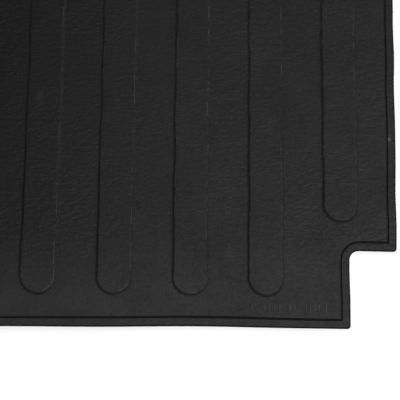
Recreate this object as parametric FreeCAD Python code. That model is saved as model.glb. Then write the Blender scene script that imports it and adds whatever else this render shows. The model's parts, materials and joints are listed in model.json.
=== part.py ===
"""Ribbed rubber liner mat for the floor of a pickup truck bed.

One moulded sheet, laid flat. X runs across the bed, Y forwards from the tailgate to the cab,
and Z up. The origin is on the truck's floor, at the middle of the mat. The sheet is cut into
seven panels along the thin channels between its ribs, which is where the real sheet bends when
it is rolled up. Lengths are in millimetres.
"""

import os

import FreeCAD, Part

# Sheet
half_width = 825.0
half_length = 850.0
sheet_thickness = 3.5
edge_corner_radius = 4.0
front_corner_radius = 20.0

# Rear corners, cut back beside the tailgate posts
post_notch_width = 64.0
post_notch_length = 105.0
post_notch_radius = 12.0

# Wheel housings, which the mat passes between
housing_inner_x = 640.0
housing_rear_y = -335.0
housing_front_y = 565.0
housing_inner_radius = 40.0
housing_outer_radius = 15.0

# Groove that runs all round, a little inside the edge
groove_inset = 12.0
groove_width = 3.0
groove_depth = 2.0

# Ribs
rib_pitch = 100.0
ribs_per_side = 8
rib_base_radius = 23.8
rib_top_radius = 21.4
rib_height = 2.5
rib_end_margin = 42.5
notch_rib_margin = 38.5
last_full_rib = 6

# Row of plain raised bars near the rear right corner
mark_height = 0.4
mark_bar_width = 1.8
mark_bar_length = 10.5
mark_middle_y = -821.0
mark_groups = ((631.5, 1, 0.0), (648.0, 7, 6.6), (702.5, 4, 5.6), (729.0, 1, 0.0))

# Panels, which meet in the channels between ribs
fold_spacing = 200.0
folds_per_side = 3
panel_clearance = 0.4
panel_places = ("inner", "middle", "outer")

floor_z = 0.0
sheet_top = floor_z + sheet_thickness
rib_top = sheet_top + rib_height
up = FreeCAD.Vector(0, 0, 1)


def export(shape, node):
    """Writes one closed sub-part."""
    shape.exportStep("parts/" + node + ".step")


def point(x, y, z):
    return FreeCAD.Vector(x, y, z)


def right_side_corners():
    """Corners of the outline on the right, from the tailgate forwards: x, y and radius."""
    notch_x = half_width - post_notch_width
    notch_y = post_notch_length - half_length
    return [
        (notch_x, -half_length, edge_corner_radius),
        (notch_x, notch_y, post_notch_radius),
        (half_width, notch_y, edge_corner_radius),
        (half_width, housing_rear_y, housing_outer_radius),
        (housing_inner_x, housing_rear_y, housing_inner_radius),
        (housing_inner_x, housing_front_y, housing_inner_radius),
        (half_width, housing_front_y, housing_outer_radius),
        (half_width, half_length, front_corner_radius),
    ]


def all_corners():
    """The whole outline, anticlockwise seen from above."""
    right = right_side_corners()
    left = [(-x, y, radius) for x, y, radius in reversed(right)]
    return right + left


def outline_face(inset, z):
    """The mat's outline moved inwards by a distance, as a flat face at a height."""
    corners = all_corners()
    count = len(corners)
    ends = []
    for i in range(count):
        x, y, radius = corners[i]
        here = point(x, y, z)
        before = point(corners[i - 1][0], corners[i - 1][1], z)
        after = point(corners[(i + 1) % count][0], corners[(i + 1) % count][1], z)
        arriving = (here - before).normalize()
        leaving = (after - here).normalize()
        turns_left = arriving.cross(leaving).z > 0
        moved = here + (up.cross(arriving) + up.cross(leaving)) * inset
        rounding = max(radius - inset, 0.0) if turns_left else radius + inset
        start = moved - arriving * rounding
        finish = moved + leaving * rounding
        centre = start + leaving * rounding
        ends.append((start, finish, centre, moved, rounding))
    edges = []
    for i in range(count):
        start, finish, centre, moved, rounding = ends[i]
        if rounding > 0:
            middle = centre + (moved - centre).normalize() * rounding
            edges.append(Part.Arc(start, middle, finish).toShape())
        edges.append(Part.makeLine(finish, ends[(i + 1) % count][0]))
    return Part.Face(Part.Wire(edges))


def whole_sheet():
    """The flat sheet with its groove, before it is cut into panels."""
    sheet = outline_face(0.0, floor_z).extrude(up * sheet_thickness)
    groove_floor = sheet_top - groove_depth
    outer = outline_face(groove_inset - groove_width / 2, groove_floor)
    inner = outline_face(groove_inset + groove_width / 2, groove_floor)
    groove = outer.extrude(up * sheet_thickness).cut(inner.extrude(up * sheet_thickness))
    return sheet.cut(groove)


def panel(sheet, low_x, high_x):
    """The part of the sheet between two folds."""
    size_y = 2 * half_length + 2
    block = Part.makeBox(high_x - low_x, size_y, sheet_thickness + 2)
    block.translate(point(low_x, -size_y / 2, floor_z - 1))
    return sheet.common(block).Solids[0]


def build_panels():
    """Centre panel, then three panels to each side of it."""
    sheet = whole_sheet()
    half_gap = panel_clearance / 2
    export(panel(sheet, half_gap - fold_spacing, fold_spacing - half_gap), "sheet_center")
    for i, place in enumerate(panel_places):
        low = (i + 1) * fold_spacing + half_gap
        high = half_width + 1 if i == folds_per_side - 1 else (i + 2) * fold_spacing - half_gap
        export(panel(sheet, low, high), "sheet_right_" + place)
        export(panel(sheet, -high, -low), "sheet_left_" + place)


def slot_wire(x, low_y, high_y, radius, z):
    """A straight-sided outline with half-round ends. low_y and high_y are the arcs' centres."""
    right_side = Part.makeLine(point(x + radius, low_y, z), point(x + radius, high_y, z))
    front_end = Part.Arc(
        point(x + radius, high_y, z), point(x, high_y + radius, z), point(x - radius, high_y, z)
    ).toShape()
    left_side = Part.makeLine(point(x - radius, high_y, z), point(x - radius, low_y, z))
    rear_end = Part.Arc(
        point(x - radius, low_y, z), point(x, low_y - radius, z), point(x + radius, low_y, z)
    ).toShape()
    return Part.Wire([right_side, front_end, left_side, rear_end])


def rib(x, rear_y, front_y):
    """One raised rib with sloping sides. rear_y and front_y are its two ends."""
    low = rear_y + rib_base_radius
    high = front_y - rib_base_radius
    base = slot_wire(x, low, high, rib_base_radius, sheet_top)
    crest = slot_wire(x, low, high, rib_top_radius, rib_top)
    return Part.makeLoft([base, crest], True, True)


def rib_spans(index):
    """Name endings and ends of the ribs in one row, counted outwards from the middle."""
    front = half_length - rib_end_margin
    if index <= last_full_rib:
        return [("", -front, front)]
    in_notch_row = index == ribs_per_side
    ahead_of_notch = post_notch_length - half_length + notch_rib_margin
    rear = ahead_of_notch if in_notch_row else -front
    behind_housing = housing_rear_y - rib_end_margin
    ahead_of_housing = housing_front_y + rib_end_margin
    return [("_rear", rear, behind_housing), ("_front", ahead_of_housing, front)]


def build_ribs():
    """Eight rows to each side. The outer two rows stop at the wheel housings."""
    for side, sign in (("right", 1), ("left", -1)):
        for index in range(1, ribs_per_side + 1):
            x = sign * (index - 0.5) * rib_pitch
            for ending, rear_y, front_y in rib_spans(index):
                export(rib(x, rear_y, front_y), "rib_" + side + "_" + str(index) + ending)


def build_marks():
    """Plain bars that fill the place of a moulded mark."""
    bars = []
    for first_x, count, step in mark_groups:
        for i in range(count):
            bar = Part.makeBox(mark_bar_width, mark_bar_length, mark_height)
            low_x = first_x + i * step - mark_bar_width / 2
            bar.translate(point(low_x, mark_middle_y - mark_bar_length / 2, sheet_top))
            bars.append(bar)
    export(Part.makeCompound(bars), "raised_bars")


os.makedirs("parts", exist_ok=True)
build_panels()
build_ribs()
build_marks()
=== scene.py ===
"""Looks of the ribbed rubber mat for a pickup truck bed.

The mat is drawn as seven strips of skin. They meet in channels between the folds, where the sheet
stays flat, so that each fold lies inside one strip. Lengths are in metres, but the profiles are in
millimetres.
"""

import json
import math
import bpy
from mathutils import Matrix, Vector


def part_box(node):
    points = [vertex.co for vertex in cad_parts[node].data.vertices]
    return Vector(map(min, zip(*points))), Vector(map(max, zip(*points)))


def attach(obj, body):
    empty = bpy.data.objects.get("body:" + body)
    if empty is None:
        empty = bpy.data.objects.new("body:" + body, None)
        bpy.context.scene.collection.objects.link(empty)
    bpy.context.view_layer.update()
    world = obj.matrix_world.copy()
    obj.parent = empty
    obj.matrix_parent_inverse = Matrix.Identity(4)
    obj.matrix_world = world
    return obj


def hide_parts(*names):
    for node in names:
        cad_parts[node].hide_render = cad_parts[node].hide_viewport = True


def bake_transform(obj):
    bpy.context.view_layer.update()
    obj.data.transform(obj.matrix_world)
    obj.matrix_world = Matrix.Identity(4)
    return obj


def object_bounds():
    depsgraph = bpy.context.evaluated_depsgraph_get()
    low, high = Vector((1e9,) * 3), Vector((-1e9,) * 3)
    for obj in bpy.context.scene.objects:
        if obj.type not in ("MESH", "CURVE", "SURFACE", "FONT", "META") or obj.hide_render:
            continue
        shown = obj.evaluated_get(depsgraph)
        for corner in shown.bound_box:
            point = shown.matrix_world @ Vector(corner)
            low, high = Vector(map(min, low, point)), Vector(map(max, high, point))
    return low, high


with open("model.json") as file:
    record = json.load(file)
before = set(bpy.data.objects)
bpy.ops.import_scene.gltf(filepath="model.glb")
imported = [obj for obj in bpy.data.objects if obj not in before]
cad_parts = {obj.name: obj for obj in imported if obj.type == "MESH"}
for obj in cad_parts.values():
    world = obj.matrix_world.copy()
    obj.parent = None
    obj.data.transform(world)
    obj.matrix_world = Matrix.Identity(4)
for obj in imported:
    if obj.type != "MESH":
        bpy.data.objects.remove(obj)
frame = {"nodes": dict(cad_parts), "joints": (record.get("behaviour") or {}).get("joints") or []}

from types import SimpleNamespace

import bpy
import numpy as np
from mathutils import Euler, Vector, geometry

CAD_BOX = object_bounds()

# ---- Sizes -------------------------------------------------------------------------------------
MM = 0.001
HALF_WIDTH = CAD_BOX[1].x
HALF_LENGTH = CAD_BOX[1].y
SHEET_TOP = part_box("sheet_center")[1].z
RIB_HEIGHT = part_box("rib_right_1")[1].z - SHEET_TOP

EDGE_CORNER_RADIUS = 4 * MM
FRONT_CORNER_RADIUS = 20 * MM
NOTCH_WIDTH = 64 * MM
NOTCH_LENGTH = 105 * MM
NOTCH_RADIUS = 12 * MM
HOUSING_X = 640 * MM
HOUSING_REAR_Y = -335 * MM
HOUSING_FRONT_Y = 565 * MM
HOUSING_INNER_RADIUS = 40 * MM
HOUSING_OUTER_RADIUS = 15 * MM

RIB_PITCH = 100 * MM
RIBS_PER_SIDE = 8
FOLD_XS = [side * k * 200 * MM for side in (-1, 1) for k in (1, 2, 3)]
SEAM_XS = [side * k * 100 * MM for side in (-1, 1) for k in (1, 3, 5)]

# Heights across the edge, the groove and a rib's side, in millimetres: distance inside the outline,
# or from a rib's centre line, then height above the sheet. The edge and the rib's side also have
# their share of painted shade, from 0 to 1: darker, rougher rubber where shade falls.
EDGE_PROFILE = [
    (0.0, -0.9, 1.0), (0.15, -0.4, 1.0), (0.5, -0.12, 1.0), (1.1, 0.0, 1.0), (1.7, 0.0, 0.4),
    (2.4, 0.0, 0.0),
]
GROOVE_PROFILE = [
    (9.3, 0.0), (10.1, 0.0), (10.45, -0.1), (10.65, -0.5), (10.8, -1.4), (11.2, -1.9), (12.0, -2.0),
    (12.8, -1.9), (13.2, -1.4), (13.35, -0.5), (13.55, -0.1), (13.9, 0.0), (14.7, 0.0),
]
RIB_PROFILE = [
    (26.4, 0.0, 0.0), (25.2, 0.01, 0.3), (24.4, 0.07, 0.7), (23.8, 0.22, 0.8),
    (23.2, 0.7, 0.4), (22.6, 1.3, 0.25), (22.0, 1.9, 0.2), (21.6, 2.28, 0.0), (21.2, 2.44, 0.0),
    (20.7, 2.5, 0.0), (19.6, 2.5, 0.0),
]
# Where a rib's rim takes its painted highlight, in millimetres: radius and half width.
RIB_RIM_RADIUS = 21.4
RIB_RIM_WIDTH = 0.6

RIB_SIDE_SHADE = 0.45        # share of the painted shade on runs along the mat, against runs across it
GROOVE_SIDE_SHADE = 0.3      # the same share, for the groove
GROOVE_SHADE = 0.9           # painted shade where the groove is deepest, on runs across the mat
BAR_HIGHLIGHT = 0.42              # painted highlight on the bars' tops, against a rib's rim, where it is broken in places

# The trimmed edge and its groove wander a little in the plane, as a wave: size, wavelength, start
# and shift. It is whole up to one distance from the edge, and gone at another.
REAR_WANDER = (2.1 * MM, 0.84, 0.415, 0.1 * MM)
SIDE_WANDER = (1.8 * MM, 0.86, -0.617, 0.45 * MM)
WANDER_FULL = 18 * MM
WANDER_NONE = 40 * MM

# Everywhere, ribs and all: wavelength east and north, and phase
WOBBLES = [(0.31, 0.17, 0.7), (-0.23, 0.105, 2.9), (0.47, -0.081, 4.4)]
WOBBLE_SIZE = 0.3 * MM

# Light rubs and one nick: x, y, radius and how much lighter
SCUFFS = [
    (344 * MM, -541 * MM, 7 * MM, 0.01), (601 * MM, -750 * MM, 6 * MM, 0.01),
    (656 * MM, -583 * MM, 14 * MM, 0.004), (817.4 * MM, -591 * MM, 2.4 * MM, 0.1),
]

# Spacing of the skin's columns of points, its number of rows, and how near is the same place
FOLD_COLUMN_STEP = 5 * MM
CHANNEL_COLUMN_STEP = 13 * MM
RIB_COLUMN_STEP = 11 * MM
ROWS = 84
SAME_PLACE = 1e-6


# ---- Camera ------------------------------------------------------------------------------------
def make_camera():
    """A long lens above the rear right corner, tipped a little towards the cab."""
    above_sheet, inside_edge, behind_edge = 1.5517, 0.2965, 0.1878
    tip, roll, turn = 13.0, -1.375, 0.585
    data = bpy.data.cameras.new("camera")
    data.sensor_width = 36
    data.lens = 107.5
    camera = bpy.data.objects.new("camera", data)
    camera.location = (
        HALF_WIDTH - inside_edge, -HALF_LENGTH - behind_edge, SHEET_TOP + above_sheet
    )
    camera.rotation_euler = Euler([math.radians(angle) for angle in (tip, roll, turn)], "XYZ")
    bpy.context.scene.collection.objects.link(camera)
    bpy.context.scene.camera = camera


# ---- Outline -----------------------------------------------------------------------------------
def outline_corners():
    """Corners of the mat, anticlockwise seen from above: x, y and radius."""
    notch_x = HALF_WIDTH - NOTCH_WIDTH
    notch_y = NOTCH_LENGTH - HALF_LENGTH
    right = [
        (notch_x, -HALF_LENGTH, EDGE_CORNER_RADIUS),
        (notch_x, notch_y, NOTCH_RADIUS),
        (HALF_WIDTH, notch_y, EDGE_CORNER_RADIUS),
        (HALF_WIDTH, HOUSING_REAR_Y, HOUSING_OUTER_RADIUS),
        (HOUSING_X, HOUSING_REAR_Y, HOUSING_INNER_RADIUS),
        (HOUSING_X, HOUSING_FRONT_Y, HOUSING_INNER_RADIUS),
        (HALF_WIDTH, HOUSING_FRONT_Y, HOUSING_OUTER_RADIUS),
        (HALF_WIDTH, HALF_LENGTH, FRONT_CORNER_RADIUS),
    ]
    return right + [(-x, y, radius) for x, y, radius in reversed(right)]


def x_stations():
    """Columns of points: closer together where the sheet bends."""
    xs = set()
    for k in range(-RIBS_PER_SIDE, RIBS_PER_SIDE + 1):
        channel = k * RIB_PITCH
        folds = any(abs(channel - fold) < MM for fold in FOLD_XS)
        count, step = (4, FOLD_COLUMN_STEP) if folds else (1, CHANNEL_COLUMN_STEP)
        xs.update(round(channel + i * step, 6) for i in range(-count, count + 1))
        rib = channel + RIB_PITCH / 2
        xs.update(round(rib + i * RIB_COLUMN_STEP, 6) for i in (-1, 0, 1))
    return sorted(x for x in xs if abs(x) < HALF_WIDTH)


def y_stations():
    """Rows of points, evenly spaced between the mat's two ends."""
    return [round(-HALF_LENGTH + i * 2 * HALF_LENGTH / ROWS, 6) for i in range(1, ROWS)]


XS, YS = x_stations(), y_stations()


def straight(start, finish):
    """Points from start up to finish along an axis, one at each station between them."""
    clear = 2 * MM
    axis = 0 if abs(finish[0] - start[0]) > abs(finish[1] - start[1]) else 1
    low, high = sorted((start[axis], finish[axis]))
    between = [s for s in (XS, YS)[axis] if low + clear < s < high - clear]
    if finish[axis] < start[axis]:
        between.reverse()
    other = start[1 - axis]
    return [start] + [(s, other) if axis == 0 else (other, s) for s in between]


def corner_points(here, radius, arriving, leaving, inset):
    """A corner of the outline moved inwards: an arc, or one point where it has become sharp."""
    sharp, wide = 0.05 * MM, 8 * MM
    turns_left = arriving.cross(leaving) > 0
    inwards = Vector((-arriving.y, arriving.x)) + Vector((-leaving.y, leaving.x))
    moved = here + inwards * inset
    rounding = max(radius - inset, 0.0) if turns_left else radius + inset
    if rounding < sharp:
        return [tuple(moved)]
    steps = 8 if rounding > wide else 5
    centre = moved + (leaving - arriving) * rounding
    arc = []
    for step in range(steps + 1):
        turn = math.pi / 2 * step / steps
        arc.append(tuple(centre - leaving * rounding * math.cos(turn)
                         + arriving * rounding * math.sin(turn)))
    return arc


def outline_ring(inset):
    """The outline moved inwards, as a closed list of points."""
    corners = outline_corners()
    places = [Vector((x, y)) for x, y, _ in corners]
    arcs = []
    for i, (_, _, radius) in enumerate(corners):
        arriving = (places[i] - places[i - 1]).normalized()
        leaving = (places[(i + 1) % len(places)] - places[i]).normalized()
        arcs.append(corner_points(places[i], radius, arriving, leaving, inset))
    points = []
    for arc, following in zip(arcs, arcs[1:] + arcs[:1]):
        points += arc[:-1]
        points += straight(arc[-1], following[0])
    return points


def rib_ring(x, low_y, high_y, radius):
    """A straight-sided ring with half-round ends. low_y and high_y are the arcs' centres."""
    steps = 18
    turns = [math.pi * step / steps for step in range(steps)]
    arc = [(radius * math.cos(turn), radius * math.sin(turn)) for turn in turns]
    points = straight((x + radius, low_y), (x + radius, high_y))
    points += [(x + east, high_y + north) for east, north in arc]
    points += straight((x - radius, high_y), (x - radius, low_y))
    points += [(x - east, low_y - north) for east, north in arc]
    return points


def ribs():
    """Centre line of each rib, from the frame: x, and the y of its two arcs' centres."""
    found = []
    for name in frame["nodes"]:
        if name.startswith("rib_"):
            low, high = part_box(name)
            radius = (high.x - low.x) / 2
            found.append(((low.x + high.x) / 2, low.y + radius, high.y - radius))
    return found


RIBS = ribs()


# ---- Shape of the sheet ------------------------------------------------------------------------
# Slow swells of a sheet once rolled: wavelength east, wavelength north, phase and share
WAVES = [
    (0.41, 0.93, 0.4, 0.30), (-0.27, 0.52, 2.1, 0.22), (0.19, -0.71, 4.0, 0.16),
    (0.63, 0.24, 5.2, 0.16), (-0.15, -0.31, 1.3, 0.09), (0.22, 0.17, 3.3, 0.07),
]
WAVE_HEIGHT = 1.1 * MM


def swell(x, y):
    """How far the sheet stands off the floor, from 0 to WAVE_HEIGHT."""
    total = sum(
        share * math.sin(2 * math.pi * (x / east + y / north) + phase)
        for east, north, phase, share in WAVES
    )
    return WAVE_HEIGHT * (0.5 + 0.5 * total)


def edge_share(clearance):
    """1 near the edge and 0 well inside it, changing smoothly."""
    t = min(max((WANDER_NONE - clearance) / (WANDER_NONE - WANDER_FULL), 0.0), 1.0)
    return t * t * (3 - 2 * t)


def edge_wave(along, size, wavelength, start, shift):
    return size * math.sin(2 * math.pi * (along - start) / wavelength) + shift


def wander(x, y):
    """Moves a place by the small in-plane waviness of the rubber, which is larger at the edge."""
    turns = [2 * math.pi * (x / across + y / along) + phase for across, along, phase in WOBBLES]
    outwards = math.copysign(1.0, x)
    east = outwards * edge_wave(y, *SIDE_WANDER) * edge_share(HALF_WIDTH - abs(x))
    north = edge_wave(x, *REAR_WANDER) * edge_share(HALF_LENGTH - abs(y))
    east += WOBBLE_SIZE * sum(math.sin(turn) for turn in turns)
    north += WOBBLE_SIZE * sum(math.cos(turn) for turn in turns)
    return x + east, y + north


class Points:
    """Points in the plane, each kept once, with height, painted shade and crest, and edges to keep.
    """

    def __init__(self):
        self.index, self.places, self.heights, self.edges = {}, [], [], set()
        self.grime, self.crest = [], []

    def add(self, x, y, height=0.0, grime=0.0, crest=0.0):
        key = (round(x, 6), round(y, 6))
        if key not in self.index:
            self.index[key] = len(self.places)
            self.places.append(key)
            self.heights.append(height)
            self.grime.append(grime)
            self.crest.append(crest)
        return self.index[key]

    def ring(self, points, height, grime=0.0, side_share=1.0, crest=0.0):
        """A closed line of points. Runs along the mat get side_share of the painted shade, and the
        crest.
        """
        at = []
        for before, (x, y), after in zip(points[-1:] + points, points, points[1:] + points[:1]):
            run = Vector(after) - Vector(before)
            across = abs(run.x) / run.length
            share = across + side_share * (1 - across)
            at.append(self.add(x, y, height, grime * share, crest * (1 - across) ** 2))
        for a, b in zip(at, at[1:] + at[:1]):
            self.edges.add((a, b))

    def join_seams(self):
        """Edges along each seam, from one point on it to the next."""
        for seam in SEAM_XS:
            on_it = sorted((y, i) for (x, y), i in self.index.items()
                           if abs(x - seam) < SAME_PLACE)
            for (_, a), (_, b) in zip(on_it, on_it[1:]):
                self.edges.add((a, b))


def inside(ring, places):
    """Whether each of some places is inside a ring, by the crossings of a ray."""
    places = np.array(places)
    x, y = places[:, 0], places[:, 1]
    crossings = np.zeros(len(places), int)
    for (ax, ay), (bx, by) in zip(ring, ring[1:] + ring[:1]):
        if ay != by:
            spans = (ay > y) != (by > y)
            crossings += spans & (ax + (y - ay) / (by - ay) * (bx - ax) > x)
    return crossings % 2 == 1


def distance_to_rib(rib, x, y):
    centre_x, low_y, high_y = rib
    return math.hypot(x - centre_x, y - min(max(y, low_y), high_y))


def grid_points():
    """Where the stations cross inside the groove, and whether each is on a rib."""
    field_inset = 18 * MM
    clear_inside, clear_outside = 17 * MM, 28 * MM        # the rings of a rib's side lie between
    crossings = [(x, y) for x in XS for y in YS]
    found = []
    for (x, y), in_field in zip(crossings, inside(outline_ring(field_inset), crossings)):
        if in_field:
            nearest = min(distance_to_rib(rib, x, y) for rib in RIBS)
            if nearest < clear_inside or nearest > clear_outside:
                found.append((x, y, nearest < clear_inside))
    return found


def top_points(grid):
    points = Points()
    # Each ring takes its share of painted shade: the rounded edge, the groove, the ribs' feet and
    # sides.
    for inset, height, grime in EDGE_PROFILE:
        points.ring(outline_ring(inset * MM), height=height * MM, grime=grime)
    # The groove is painted darker the deeper it is: painted shade.
    deepest = min(height for _, height in GROOVE_PROFILE)
    for inset, height in GROOVE_PROFILE:
        points.ring(outline_ring(inset * MM), height=height * MM,
                    grime=GROOVE_SHADE * math.sqrt(height / deepest),
                    side_share=GROOVE_SIDE_SHADE)
    for x, low_y, high_y in RIBS:
        for radius, height, grime in RIB_PROFILE:
            # The crest along the rim, which takes the painted highlight.
            crest = max(0.0, 1 - abs(radius - RIB_RIM_RADIUS) / RIB_RIM_WIDTH)
            points.ring(rib_ring(x, low_y, high_y, radius * MM), height=height * MM, grime=grime,
                        crest=crest, side_share=RIB_SIDE_SHADE)
    for x, y, on_rib in grid:
        points.add(x, y, height=RIB_HEIGHT if on_rib else 0.0)
    points.join_seams()
    return points


def bottom_points(top, grid):
    """The underside has the outline, the seams and every grid point of the top."""
    points = Points()
    points.ring(outline_ring(0.0), height=0.0)
    for x, y, _ in grid:
        points.add(x, y)
    for x, y in top.places:
        if any(abs(x - seam) < SAME_PLACE for seam in SEAM_XS):
            points.add(x, y)
    points.join_seams()
    return points


def triangles(points):
    """Triangles between the points, inside the outline, as three indices each."""
    whole_hull, nearness = 0, 1e-7
    flat = [Vector(p) for p in points.places]
    _, _, faces, sources, _, _ = geometry.delaunay_2d_cdt(
        flat, sorted(points.edges), [], whole_hull, nearness, True
    )
    found = [[sources[i][0] for i in face] for face in faces]
    middles = np.array(points.places)[np.array(found)].mean(axis=1)
    return [at for at, kept in zip(found, inside(outline_ring(0.0), middles)) if kept]


# ---- Materials ---------------------------------------------------------------------------------
class Nodes:
    """Short words for building a material's node tree."""

    def __init__(self, name):
        self.material = bpy.data.materials.new(name)
        self.material.use_nodes = True
        self.tree = self.material.node_tree
        self.shader = self.tree.nodes["Principled BSDF"]

    def node(self, kind, settings=None, **inputs):
        made = self.tree.nodes.new("ShaderNode" + kind)
        for key, value in (settings or {}).items():
            setattr(made, key, value)
        for key, value in inputs.items():
            self.put(made.inputs[key], value)
        return made

    def put(self, socket, value):
        if isinstance(value, bpy.types.NodeSocket):
            self.tree.links.new(value, socket)
        else:
            socket.default_value = value

    def attribute(self, name, output="Fac"):
        return self.node("Attribute", {"attribute_name": name}).outputs[output]

    def noise(self, place, scale, detail=2.0, roughness=0.5):
        made = self.node("TexNoise", Scale=scale, Detail=detail, Roughness=roughness, Vector=place)
        return made.outputs["Fac"]

    def cells(self, place, scale, feature="F1"):
        made = self.node("TexVoronoi", {"feature": feature}, Scale=scale, Vector=place)
        return made.outputs["Distance"]

    def maths(self, operation, a, b=0.0, clamp=False):
        made = self.node("Math", {"operation": operation, "use_clamp": clamp})
        self.put(made.inputs[0], a)
        self.put(made.inputs[1], b)
        return made.outputs[0]

    def plus(self, a, b, clamp=False):
        return self.maths("ADD", a, b, clamp)

    def times(self, a, *shares):
        for share in shares:
            a = self.maths("MULTIPLY", a, share)
        return a

    def spread(self, value, low, high, to_low=0.0, to_high=1.0):
        """Moves a range of values onto another, and stops at its ends."""
        made = self.node("MapRange", {"clamp": True}, Value=value)
        for key, number in zip(("From Min", "From Max", "To Min", "To Max"),
                               (low, high, to_low, to_high)):
            self.put(made.inputs[key], number)
        return made.outputs["Result"]

    def vector(self, operation, a, b=(0.0, 0.0, 0.0), output="Vector"):
        made = self.node("VectorMath", {"operation": operation})
        self.put(made.inputs[0], a)
        self.put(made.inputs[1], b)
        return made.outputs[output]

    def stretched(self, place, by):
        return self.vector("MULTIPLY", place, by)

    def axis(self, place, name):
        return self.node("SeparateXYZ", Vector=place).outputs[name]

    def bump(self, height, depth, strength, under=None):
        made = self.node("Bump", Height=height, Distance=depth, Strength=strength)
        if under is not None:
            self.put(made.inputs["Normal"], under)
        return made.outputs["Normal"]

    def grey(self, value, tint=(1.0, 1.0, 1.02)):
        made = self.node("CombineColor")
        for key, share in zip(("Red", "Green", "Blue"), tint):
            self.put(made.inputs[key], self.times(value, share))
        return made.outputs["Color"]

    def finish(self, tone, roughness, normal, specular):
        """Connects the shader and returns the material."""
        self.put(self.shader.inputs["Base Color"], self.grey(tone))
        self.put(self.shader.inputs["Roughness"], roughness)
        self.put(self.shader.inputs["Normal"], normal)
        self.put(self.shader.inputs["Specular IOR Level"], specular)
        return self.material


def leather_grain(nodes, place):
    """Height of the moulded grain: small uneven pebbles with finer noise on them."""
    drift = nodes.stretched(nodes.noise(place, 160), (0.004, 0.004, 0.004))
    pebbles = nodes.cells(nodes.vector("ADD", place, drift), 420)
    fine = nodes.noise(place, 1100, 3, 0.6)
    return nodes.plus(nodes.times(pebbles, 0.7), nodes.times(fine, 0.3))


def distance_along(nodes, place):
    """How far a place is towards either end of the mat, from its middle."""
    return nodes.maths("ABSOLUTE", nodes.axis(place, "Y"))


def edge_dust_and_painted_light(nodes, place):
    """Dust and painted light in one value: 0 in the middle, which is rubbed, 1 at the sides, and up
    to 2 at the ends.
    """
    from_middle = nodes.vector("LENGTH", nodes.stretched(place, (1, 0.3, 0)), output="Value")
    at_sides = nodes.spread(from_middle, 0.33, 0.54)
    at_ends = nodes.spread(distance_along(nodes, place), HALF_LENGTH - 0.12, HALF_LENGTH - 0.03)
    rubbed = nodes.times(nodes.maths("SUBTRACT", 1.0, at_sides),
                         nodes.maths("SUBTRACT", 1.0, at_ends))
    return nodes.plus(nodes.maths("SUBTRACT", 1.0, rubbed), at_ends)


def scratches(nodes, place):
    """Faint scratches, mostly across the mat, in some areas only."""
    lines = nodes.cells(nodes.stretched(place, (9, 40, 1)), 1.0, "DISTANCE_TO_EDGE")
    areas = nodes.spread(nodes.noise(place, 11), 0.58, 0.66)
    return nodes.times(nodes.spread(lines, 0.0, 0.012, 1.0, 0.0), areas)


def top_patterns(nodes, even_highlight):
    """What the tone, roughness and relief of the top share."""
    place = nodes.attribute("rest_place", "Vector")
    crest = nodes.attribute("crest")
    # Painted highlight along the rib rims, broken into stretches by noise, and even on the bars'
    # tops.
    broken = 1.0 if even_highlight else nodes.spread(nodes.noise(place, 90), 0.48, 0.6)
    painted_highlight = nodes.times(crest, broken)
    return SimpleNamespace(
        place=place,
        clouds=nodes.noise(place, 14, 4, 0.6),
        mottle=nodes.noise(nodes.stretched(place, (150, 220, 200)), 1.0),
        grain=leather_grain(nodes, place),
        dust_and_painted_light=edge_dust_and_painted_light(nodes, place),
        grime=nodes.attribute("grime"),
        painted_highlight=painted_highlight,
        highlight_gaps=nodes.maths("SUBTRACT", crest, painted_highlight, clamp=True),
    )


def top_tone(nodes, top):
    """How light it is: cloudy, lighter towards the edges with dust and painted light, painted
    highlights on the rims, painted shade in low places.
    """
    mottled = nodes.times(nodes.spread(top.mottle, 0.3, 0.7, -1.0, 1.0),
                          nodes.spread(top.dust_and_painted_light, 0.0, 2.0, 0.5, 0.1))
    tone = nodes.spread(top.clouds, 0.35, 0.65, 0.0052, 0.0079)
    # Lighter towards the sides and most at the ends: partly dust, partly painted light where the
    # sheet was lit more.
    tone = nodes.times(tone, nodes.spread(top.dust_and_painted_light, 0.0, 2.0, 0.35, 1.75))
    tone = nodes.times(tone, nodes.plus(mottled, 1.0))
    tone = nodes.times(tone, nodes.spread(top.grain, 0.2, 0.8, 0.85, 1.15))
    # Painted highlight on the rims and the bars' tops, stronger where the sheet is painted lighter.
    highlight_strength = nodes.spread(top.dust_and_painted_light, 0.1, 1.5, 0.0, 0.035)
    tone = nodes.plus(tone, nodes.times(top.painted_highlight, highlight_strength))
    # Darker gaps between the painted highlights along the rims.
    tone = nodes.times(tone, nodes.spread(top.highlight_gaps, 0.0, 1.0, 1.0, 0.6))
    # Painted shade: darker at the rounded edge, in the groove and at the ribs' feet and sides.
    tone = nodes.times(tone, nodes.spread(top.grime, 0.0, 1.0, 1.0, 0.1))
    tone = nodes.plus(tone, nodes.times(scratches(nodes, top.place), 0.002))
    for x, y, radius, lighter in SCUFFS:
        away = nodes.vector("DISTANCE", nodes.stretched(top.place, (1, 0.5, 0)), (x, y / 2, 0),
                            output="Value")
        rub = nodes.spread(away, radius / 3, radius, lighter, 0.0)
        tone = nodes.plus(tone, nodes.times(rub, top.mottle))
    return tone


def top_roughness(nodes, top):
    """Rougher where it is dusty, in the gaps of the painted rim highlights and under the painted
    shade, and smoother along the painted highlights.
    """
    dull = nodes.spread(top.clouds, 0.3, 0.7, 0.57, 0.49)
    dull = nodes.plus(dull, nodes.times(top.dust_and_painted_light, 0.05))
    dull = nodes.plus(dull, nodes.spread(top.mottle, 0.3, 0.7, 0.08, -0.08))
    dull = nodes.plus(dull, nodes.times(top.painted_highlight, -0.08))
    dull = nodes.plus(dull, nodes.times(top.highlight_gaps, 0.25))
    return nodes.plus(dull, nodes.times(top.grime, 0.4), clamp=True)


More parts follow.
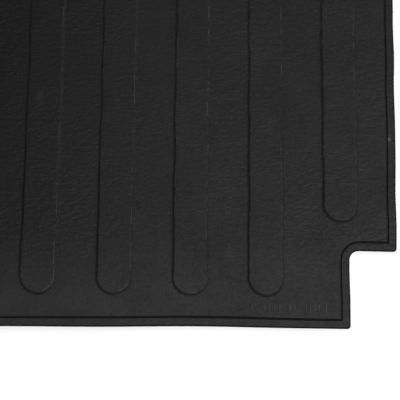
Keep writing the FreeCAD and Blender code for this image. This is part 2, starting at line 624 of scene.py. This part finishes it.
def top_relief(nodes, top):
    """Shallow dents, then short ripples, calmer in dust and towards the ends, then the grain."""
    along = distance_along(nodes, top.place)
    calmer = nodes.spread(along, HALF_LENGTH - 0.35, HALF_LENGTH - 0.05, 1.15, 0.7)
    dusty = nodes.spread(top.dust_and_painted_light, 0.0, 2.0, 1.85, 0.1)
    patchy = nodes.spread(nodes.noise(top.place, 9), 0.4, 0.6, 0.6, 1.0)
    ripples = nodes.noise(nodes.stretched(top.place, (110, 220, 1)), 1.0)
    dents = nodes.bump(nodes.noise(top.place, 38), 0.5 * MM, 0.75)
    creased = nodes.bump(nodes.times(calmer, dusty, patchy, ripples), 0.7 * MM, 1.0, dents)
    return nodes.bump(top.grain, 0.22 * MM, 1.0, creased)


def rubber_top(name, even_highlight=False):
    """Black rubber: grain, cloudy dullness, painted highlights on the rib rims, painted shade in low
    places, scratches.
    """
    nodes = Nodes(name)
    top = top_patterns(nodes, even_highlight)
    return nodes.finish(top_tone(nodes, top), top_roughness(nodes, top), top_relief(nodes, top),
                        specular=0.235)


def rubber_underside():
    """The same rubber with a finer, flatter moulded pattern of small diamonds."""
    radians_per_metre = 900        # along x or y, a wave every 7 mm
    nodes = Nodes("rubber_underside")
    place = nodes.attribute("rest_place", "Vector")
    x, y = nodes.axis(place, "X"), nodes.axis(place, "Y")
    waves = [nodes.maths("SINE", nodes.times(nodes.maths(operation, x, y), radians_per_metre))
             for operation in ("ADD", "SUBTRACT")]
    diamonds = nodes.times(*waves)
    clouds = nodes.noise(place, 9, 4, 0.6)
    tone = nodes.times(nodes.spread(clouds, 0.3, 0.7, 0.008, 0.011),
                       nodes.spread(diamonds, -1, 1, 0.85, 1.15))
    roughness = nodes.spread(clouds, 0.3, 0.7, 0.72, 0.6)
    return nodes.finish(tone, roughness, nodes.bump(diamonds, 0.25 * MM, 0.7), specular=0.2)


def rubber_edge():
    """The trimmed edge: a little duller, with faint lines along it from the cutting."""
    nodes = Nodes("rubber_edge")
    place = nodes.attribute("rest_place", "Vector")
    lines = nodes.noise(nodes.stretched(place, (40, 40, 1400)), 1.0, 3, 0.6)
    specks = nodes.noise(place, 300, 3, 0.6)
    tone = nodes.times(nodes.spread(lines, 0.3, 0.7, 0.008, 0.011),
                       nodes.spread(specks, 0.3, 0.7, 0.9, 1.1))
    roughness = nodes.spread(specks, 0.3, 0.7, 0.58, 0.7)
    return nodes.finish(tone, roughness, nodes.bump(lines, 0.15 * MM, 0.6), specular=0.2)


# ---- The skin ----------------------------------------------------------------------------------
TOP, UNDERSIDE, EDGE = range(3)        # the order of the skin's materials


def add_attribute(mesh, name, kind, values):
    attribute = mesh.attributes.new(name, kind, "POINT")
    field = "vector" if kind == "FLOAT_VECTOR" else "value"
    attribute.data.foreach_set(field, np.array(values, np.float32).ravel())


def finish_mesh(name, places, faces, face_materials, materials, grime, crest):
    mesh = bpy.data.meshes.new(name)
    mesh.from_pydata(places, [], faces)
    for material in materials:
        mesh.materials.append(material)
    mesh.polygons.foreach_set("material_index", face_materials)
    add_attribute(mesh, "rest_place", "FLOAT_VECTOR", places)
    # Each point's share of painted shade, and its crest, where the painted highlight goes.
    add_attribute(mesh, "grime", "FLOAT", grime)
    add_attribute(mesh, "crest", "FLOAT", crest)
    mesh.shade_smooth()
    mesh.set_sharp_from_angle(angle=math.radians(50))
    piece = bpy.data.objects.new(name, mesh)
    bpy.context.scene.collection.objects.link(piece)
    return piece


class Shell:
    """Points and faces of the mat between two seams: top, underside, and walls between them."""

    def __init__(self, low_x, high_x):
        self.low_x, self.high_x = low_x, high_x
        self.places, self.grime, self.crest = [], [], []
        self.faces, self.face_materials = [], []
        self.tops, self.bottoms = {}, {}

    def own(self, points, faces):
        """The faces whose middle is between the seams."""
        return [face for face in faces
                if self.low_x < sum(points.places[i][0] for i in face) / 3 < self.high_x]

    def add_point(self, place, grime, crest):
        self.places.append(place)
        self.grime.append(grime)
        self.crest.append(crest)
        return len(self.places) - 1

    def top_vertex(self, top, i):
        if i not in self.tops:
            x, y = top.places[i]
            place = (*wander(x, y), swell(x, y) + SHEET_TOP + top.heights[i])
            self.tops[i] = self.add_point(place, top.grime[i], top.crest[i])
        return self.tops[i]

    def bottom_vertex(self, place):
        if place not in self.bottoms:
            self.bottoms[place] = self.add_point((*wander(*place), swell(*place)), 0.0, 0.0)
        return self.bottoms[place]

    def add_face(self, corners, material):
        self.faces.append(corners)
        self.face_materials.append(material)

    def add_top(self, top, faces):
        for face in self.own(top, faces):
            self.add_face([self.top_vertex(top, i) for i in face], TOP)

    def add_underside(self, bottom, faces):
        for face in self.own(bottom, faces):
            corners = [self.bottom_vertex(bottom.places[i]) for i in reversed(face)]
            self.add_face(corners, UNDERSIDE)

    def add_walls(self, top, faces):
        """A wall below each edge that only one face of the top has."""
        edges = [edge for face in self.own(top, faces) for edge in zip(face, face[1:] + face[:1])]
        known = set(edges)
        for a, b in edges:
            if (b, a) not in known:
                low_a, low_b = [self.bottom_vertex(top.places[i]) for i in (a, b)]
                self.add_face([self.tops[b], self.tops[a], low_a, low_b], EDGE)

    def finish(self, name, materials):
        return finish_mesh(name, self.places, self.faces, self.face_materials, materials,
                           self.grime, self.crest)


def strip_layout():
    """Each strip's name, its low and high x, and the fold joint named after it, if any."""
    beyond = 1.0        # past the mat's sides
    seams = sorted(SEAM_XS)
    names = ["left_outer", "left_middle", "left_inner", "center",
             "right_inner", "right_middle", "right_outer"]
    joints = {joint["name"]: joint for joint in frame["joints"]}
    return [(name, low, high, joints.get(name + "_fold"))
            for name, low, high in zip(names, [-beyond] + seams, seams + [beyond])]


def make_skin(materials):
    grid = grid_points()
    top = top_points(grid)
    bottom = bottom_points(top, grid)
    top_faces, bottom_faces = triangles(top), triangles(bottom)
    for name, low, high, joint in strip_layout():
        shell = Shell(low, high)
        shell.add_top(top, top_faces)
        shell.add_underside(bottom, bottom_faces)
        shell.add_walls(top, top_faces)
        strip = shell.finish("skin_" + name, materials)
        for node in frame["nodes"]:
            box_low, box_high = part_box(node)
            if node != "raised_bars" and box_low.x < high and box_high.x > low:
                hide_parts(node)
        if joint is None:
            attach(strip, "center_panel")
            continue
        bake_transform(strip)


# ---- Row of raised bars ------------------------------------------------------------------------
def bar_middles():
    """Middle x of each plain bar, from the frame's node, left to right."""
    mesh = frame["nodes"]["raised_bars"].data
    xs = sorted({round(v.co.x, 4) for v in mesh.vertices})
    return [(a + b) / 2 for a, b in zip(xs[::2], xs[1::2])]


def make_bars(material):
    """Closed, softly rounded bars, sunk a little into the sheet and following its swell."""
    low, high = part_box("raised_bars")
    half_width, height, sunk = 1.1 * MM, high.z - low.z, 0.5 * MM
    # Steps across and along a bar: share of its half width or length, then share of its height
    across = [(-1.0, 0.0), (-0.7, 0.75), (-0.3, 1.0), (0.3, 1.0), (0.7, 0.75), (1.0, 0.0)]
    along = [(0.0, 0.0), (0.06, 0.75), (0.14, 1.0), (0.5, 1.0), (0.86, 1.0), (0.94, 0.75),
             (1.0, 0.0)]
    places, faces, crest = [], [], []
    for middle in bar_middles():
        first = len(places)
        for is_top in (True, False):
            for share, end_rise in along:
                y = low.y + (high.y - low.y) * share
                for step, side_rise in across:
                    x = middle + step * half_width
                    rise = min(end_rise, side_rise) if is_top else 0.0
                    base = SHEET_TOP if is_top else SHEET_TOP - sunk
                    places.append((x, y, swell(x, y) + base + height * rise))
                    # The bars' tops take an even painted highlight, fullest where they are highest.
                    crest.append(BAR_HIGHLIGHT * rise)
        faces += closed_block(first, len(along), len(across))
    bars = finish_mesh("raised_bars_skin", places, faces, [TOP] * len(faces), [material],
                       [0.0] * len(places), crest)
    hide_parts("raised_bars")
    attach(bars, "right_outer_panel")


def closed_block(first, rows, columns):
    """Faces of a block whose points are a grid for its top, then the same for its bottom."""
    below = first + rows * columns

    def at(layer, row, column):
        return layer + row * columns + column

    faces = []
    for r in range(rows - 1):
        for c in range(columns - 1):
            faces.append([at(first, r, c), at(first, r, c + 1), at(first, r + 1, c + 1),
                          at(first, r + 1, c)])
            faces.append([at(below, r, c), at(below, r + 1, c), at(below, r + 1, c + 1),
                          at(below, r, c + 1)])
    rim = [(0, c) for c in range(columns - 1)]
    rim += [(r, columns - 1) for r in range(rows - 1)]
    rim += [(rows - 1, c) for c in range(columns - 1, 0, -1)]
    rim += [(r, 0) for r in range(rows - 1, 0, -1)]
    for (r0, c0), (r1, c1) in zip(rim, rim[1:] + rim[:1]):
        faces.append([at(first, r1, c1), at(first, r0, c0), at(below, r0, c0), at(below, r1, c1)])
    return faces


# ---- Studio ------------------------------------------------------------------------------------
def make_floor():
    half_size, gap = 12.0, 0.3 * MM
    mesh = bpy.data.meshes.new("floor")
    corners = [(-half_size, -half_size), (half_size, -half_size),
               (half_size, half_size), (-half_size, half_size)]
    mesh.from_pydata([(x, y, -gap) for x, y in corners], [], [[0, 1, 2, 3]])
    floor = bpy.data.objects.new("floor", mesh)
    bpy.context.scene.collection.objects.link(floor)
    nodes = Nodes("floor_paper")
    nodes.put(nodes.shader.inputs["Base Color"], (0.88, 0.88, 0.88, 1))
    nodes.put(nodes.shader.inputs["Roughness"], 0.9)
    mesh.materials.append(nodes.material)


def soft_light(name, place, aim, size, power):
    """A square panel of light, in metres and watts."""
    data = bpy.data.lights.new(name, "AREA")
    data.size = size
    data.energy = power
    light = bpy.data.objects.new(name, data)
    light.location = place
    light.rotation_euler = (Vector(aim) - Vector(place)).to_track_quat("-Z", "Y").to_euler()
    bpy.context.scene.collection.objects.link(light)


def make_lights():
    rear_corner, middle = (0.55, -0.7, 0.0), (0.0, 0.0, 0.0)
    soft_light("over", (2.7, -2.6, 4.8), rear_corner, size=2.7, power=345)
    soft_light("side", (5.5, 2.3, 2.4), rear_corner, size=3.6, power=120)
    soft_light("fill", (-3.5, 3.5, 2.2), middle, size=3.6, power=75)
    world = bpy.data.worlds.new("studio")
    world.use_nodes = True
    background = world.node_tree.nodes["Background"]
    background.inputs["Color"].default_value = (1, 1, 1, 1)
    background.inputs["Strength"].default_value = 0.12
    bpy.context.scene.world = world


make_camera()
make_skin([rubber_top("rubber_top"), rubber_underside(), rubber_edge()])
make_bars(rubber_top("rubber_bars", even_highlight=True))
make_floor()
make_lights()
bpy.context.scene.view_settings.view_transform = "Standard"
